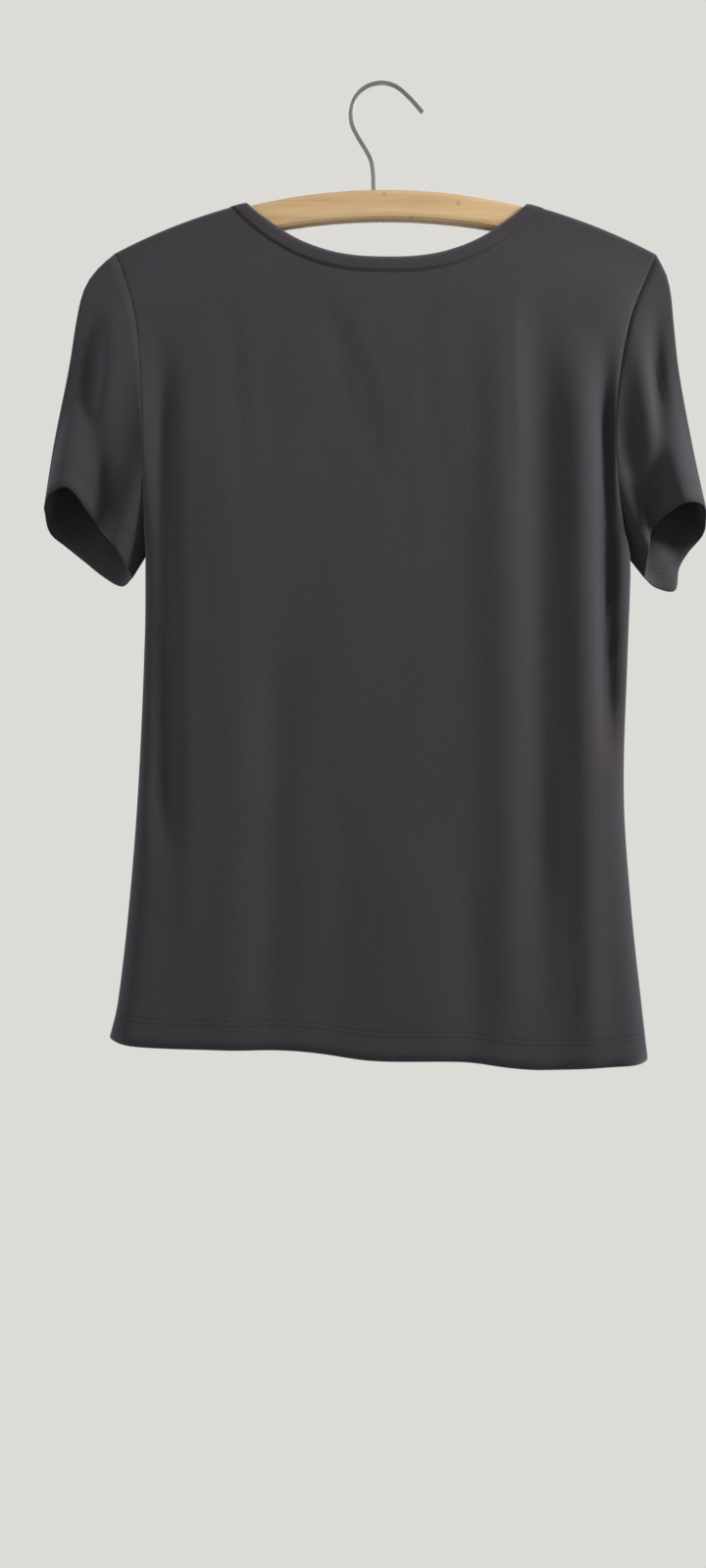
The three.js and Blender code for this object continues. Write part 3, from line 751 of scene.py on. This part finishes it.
# ---- operators ----
def body_piece(back, settings):
    fine = settings.fineness
    wide, tall = COLUMNS * fine, ROWS * fine

    def place(i, j):
        column = i / fine if back else COLUMNS - i / fine
        return body_point(back, column, j / fine)

    name = "back_cloth" if back else "front_cloth"
    return grid_piece(name, wide, tall, place, ("left", "right", "top"))


def paint_vee_show_through_shade(piece):
    """Painted shade on the thin back where the front's neckband and opening show faintly through it."""
    shown = piece.data.attributes.new("through", "FLOAT", "POINT")
    for vert, value in zip(piece.data.vertices, shown.data):
        x, z = vert.co.x / MM, vert.co.z / MM
        across = abs(x - NECK_X) / NECK_HALF
        if across >= 1:
            continue
        edge = top_z(x, False)
        steep = mix(VEE_ROUND * (1 - across) ** (VEE_ROUND - 1), 1, VEE_STRAIGHT)
        slope = VEE_DROP * steep / NECK_HALF
        inside = (z - edge) / math.hypot(1, slope)
        # Painted shade: strongest along the front's band behind the back, fainter on the right arm.
        band = ease((inside + 3) / 4) * ease((BAND + 3 - inside) / 4)
        fade = ease((-z - 150) / 60)
        side = 1.0 if x < NECK_X else VEE_SHADE_RIGHT
        value.value = VEE_SHADE * band * fade * side


class TSHIRT_OT_panels(bpy.types.Operator):
    """Build the back panel and the V-necked front panel"""
    bl_idname = "tshirt.panels"
    bl_label = "Back and front panels"

    def execute(self, context):
        cloth = context.scene.tshirt_cloth
        look = context.scene.tshirt_look
        for back, node_name, area in ((True, "back_panel", BACK_AREA), (False, "front_panel", FRONT_AREA)):
            piece = body_piece(back, cloth)
            if back:
                paint_vee_show_through_shade(piece)
            name = "jersey_back" if back else "jersey_front"
            finish = jersey_material(name, look, BODY_STITCHES, BODY_HEM)
            finish_cloth(piece, node_name, cloth.wall, finish)
        return {"FINISHED"}


class TSHIRT_OT_sleeves(bpy.types.Operator):
    """Build the two short sleeves"""
    bl_idname = "tshirt.sleeves"
    bl_label = "Sleeves"

    def execute(self, context):
        cloth = context.scene.tshirt_cloth
        look = context.scene.tshirt_look
        fine = cloth.fineness
        count = (ROWS - BODY_ROWS) * fine
        tall = SLEEVE_STEPS * fine
        finish = jersey_material("jersey_sleeve", look, SLEEVE_STITCHES, SLEEVE_HEM)
        for is_left in (True, False):
            def place(i, j, is_left=is_left):
                around = abs(count - i) / fine
                back = (i > count) == is_left
                return sleeve_point(is_left, back, around, 1 - j / tall)

            name = "left_sleeve_cloth" if is_left else "right_sleeve_cloth"
            piece = grid_piece(name, 2 * count, tall, place, ("top",), ring=True)
            node_name = "left_sleeve" if is_left else "right_sleeve"
            finish_cloth(piece, node_name, cloth.wall, finish)
        return {"FINISHED"}


class TSHIRT_OT_neckband(bpy.types.Operator):
    """Build the narrow band round the neckline"""
    bl_idname = "tshirt.neckband"
    bl_label = "Neckband"

    def execute(self, context):
        cloth = context.scene.tshirt_cloth
        fine = cloth.fineness
        first = len(SHOULDER_COLUMNS) * fine
        last = (COLUMNS - len(SHOULDER_COLUMNS)) * fine
        order = [(True, c) for c in range(first, last + 1)]
        order += [(False, c) for c in range(last - 1, first, -1)]
        seam = [body_point(back, c / fine, ROWS) for back, c in order]
        below = [body_point(back, c / fine, ROWS - 0.5) for back, c in order]
        count = len(seam)
        inner = []
        for i, here in enumerate(seam):
            following = (seam[(i + 1) % count] - here).normalized()
            previous = (here - seam[i - 1]).normalized()
            run = (following + previous).normalized()
            level = Vector((math.copysign(1, NECK_X - here.x), 0, abs(here.x - BAR_X) / BAR_RADIUS))
            rising = here - below[i]
            square = rising - run * rising.dot(run)
            square = square.normalized() if square.length > 0.2 else level.normalized()
            across = abs(here.x - NECK_X) / NECK_HALF
            inward = level.normalized().lerp(square, ease((1 - across) / 0.25)).normalized()
            inner.append(inward * (BAND / max(0.25, run.dot(following))))
        steps = 4

        def place(i, j):
            i %= count
            share = (j - BAND_TUCK) / (steps - BAND_TUCK)
            swell = math.sin(math.pi * share)
            out = -0.5 if order[i][0] else 0.5
            return seam[i] + inner[i] * share + Vector((0, out * swell, 0))

        piece = grid_piece("neckband_cloth", count, steps, place, ("bottom",), ring=True)
        look = context.scene.tshirt_look
        finish = jersey_material("jersey_band", look, BAND_STITCHES, 0)
        finish_cloth(piece, "neckband", cloth.band_wall, finish)
        return {"FINISHED"}


class TSHIRT_OT_hanger(bpy.types.Operator):
    """Give the hanger's bar and hook their finishes"""
    bl_idname = "tshirt.hanger"
    bl_label = "Hanger finishes"

    def execute(self, context):
        for node_name, finish in (("hanger_bar", wood_material()), ("hanger_hook", steel_material())):
            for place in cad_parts[node_name].material_slots:
                place.material = finish
        return {"FINISHED"}


class TSHIRT_OT_stage(bpy.types.Operator):
    """Set the floor, the soft light and the camera"""
    bl_idname = "tshirt.stage"
    bl_label = "Stage"

    def execute(self, context):
        scene = context.scene
        stage = scene.tshirt_stage
        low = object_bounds()[0]
        bm = bmesh.new()
        bmesh.ops.create_grid(bm, x_segments=1, y_segments=1, size=FLOOR_HALF)
        mesh = bpy.data.meshes.new("floor")
        bm.to_mesh(mesh)
        bm.free()
        floor = bpy.data.objects.new("floor", mesh)
        floor.location.z = low.z - FLOOR_DROP
        mesh.materials.append(sweep_material(BACKGROUND))
        scene.collection.objects.link(floor)
        floor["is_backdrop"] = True

        world = bpy.data.worlds.new("studio")
        scene.world = world
        world.use_nodes = True
        tree = world.node_tree
        light = tree.nodes["Background"]
        light.inputs["Color"].default_value = WORLD_TINT
        light.inputs["Strength"].default_value = WORLD_LIGHT
        seen = node(tree, "ShaderNodeBackground", Strength=1.0)
        seen.inputs["Color"].default_value = (*BACKGROUND, 1)
        path = node(tree, "ShaderNodeLightPath")
        choose = node(tree, "ShaderNodeMixShader")
        link(tree, path.outputs["Is Camera Ray"], choose.inputs[0])
        link(tree, light.outputs[0], choose.inputs[1])
        link(tree, seen.outputs[0], choose.inputs[2])
        link(tree, choose.outputs[0], tree.nodes["World Output"].inputs["Surface"])

        for name, place, size, watts in LAMPS:
            lamp = bpy.data.lights.new(name, "AREA")
            lamp.size = size
            lamp.energy = watts
            holder = bpy.data.objects.new(name, lamp)
            holder.location = place
            aim = Vector(LAMP_TARGET) - holder.location
            holder.rotation_euler = aim.to_track_quat("-Z", "Y").to_euler()
            scene.collection.objects.link(holder)

        camera = bpy.data.cameras.new("camera")
        camera.lens = stage.lens
        camera.sensor_width = 36.0
        holder = bpy.data.objects.new("camera", camera)
        holder.location = (-stage.sideways, -stage.distance, -stage.height)
        holder.rotation_euler = (math.radians(90), 0, 0)
        scene.collection.objects.link(holder)
        scene.camera = holder
        scene.view_settings.view_transform = "Standard"
        return {"FINISHED"}


STEPS = (TSHIRT_OT_panels, TSHIRT_OT_sleeves, TSHIRT_OT_neckband, TSHIRT_OT_hanger, TSHIRT_OT_stage)


class TSHIRT_PT_sidebar(bpy.types.Panel):
    """The shirt's operators and settings"""
    bl_idname = "TSHIRT_PT_sidebar"
    bl_label = "T-shirt"
    bl_space_type = "VIEW_3D"
    bl_region_type = "UI"
    bl_category = "T-shirt"

    def draw(self, context):
        for group in (context.scene.tshirt_cloth, context.scene.tshirt_look, context.scene.tshirt_stage):
            box = self.layout.box()
            for name in group.__annotations__:
                box.prop(group, name)
        for step in STEPS:
            self.layout.operator(step.bl_idname)


SETTINGS = {
    "tshirt_cloth": TShirtClothSettings,
    "tshirt_look": TShirtLookSettings,
    "tshirt_stage": TShirtStageSettings,
}


def register():
    for kind in (*SETTINGS.values(), *STEPS, TSHIRT_PT_sidebar):
        bpy.utils.register_class(kind)
    for name, kind in SETTINGS.items():
        setattr(bpy.types.Scene, name, bpy.props.PointerProperty(type=kind))


def unregister():
    for name in SETTINGS:
        delattr(bpy.types.Scene, name)
    for kind in reversed((*SETTINGS.values(), *STEPS, TSHIRT_PT_sidebar)):
        bpy.utils.unregister_class(kind)


def main():
    register()
    bpy.ops.tshirt.panels()
    bpy.ops.tshirt.sleeves()
    bpy.ops.tshirt.neckband()
    bpy.ops.tshirt.hanger()
    bpy.ops.tshirt.stage()


if __name__ == "__main__":
    main()
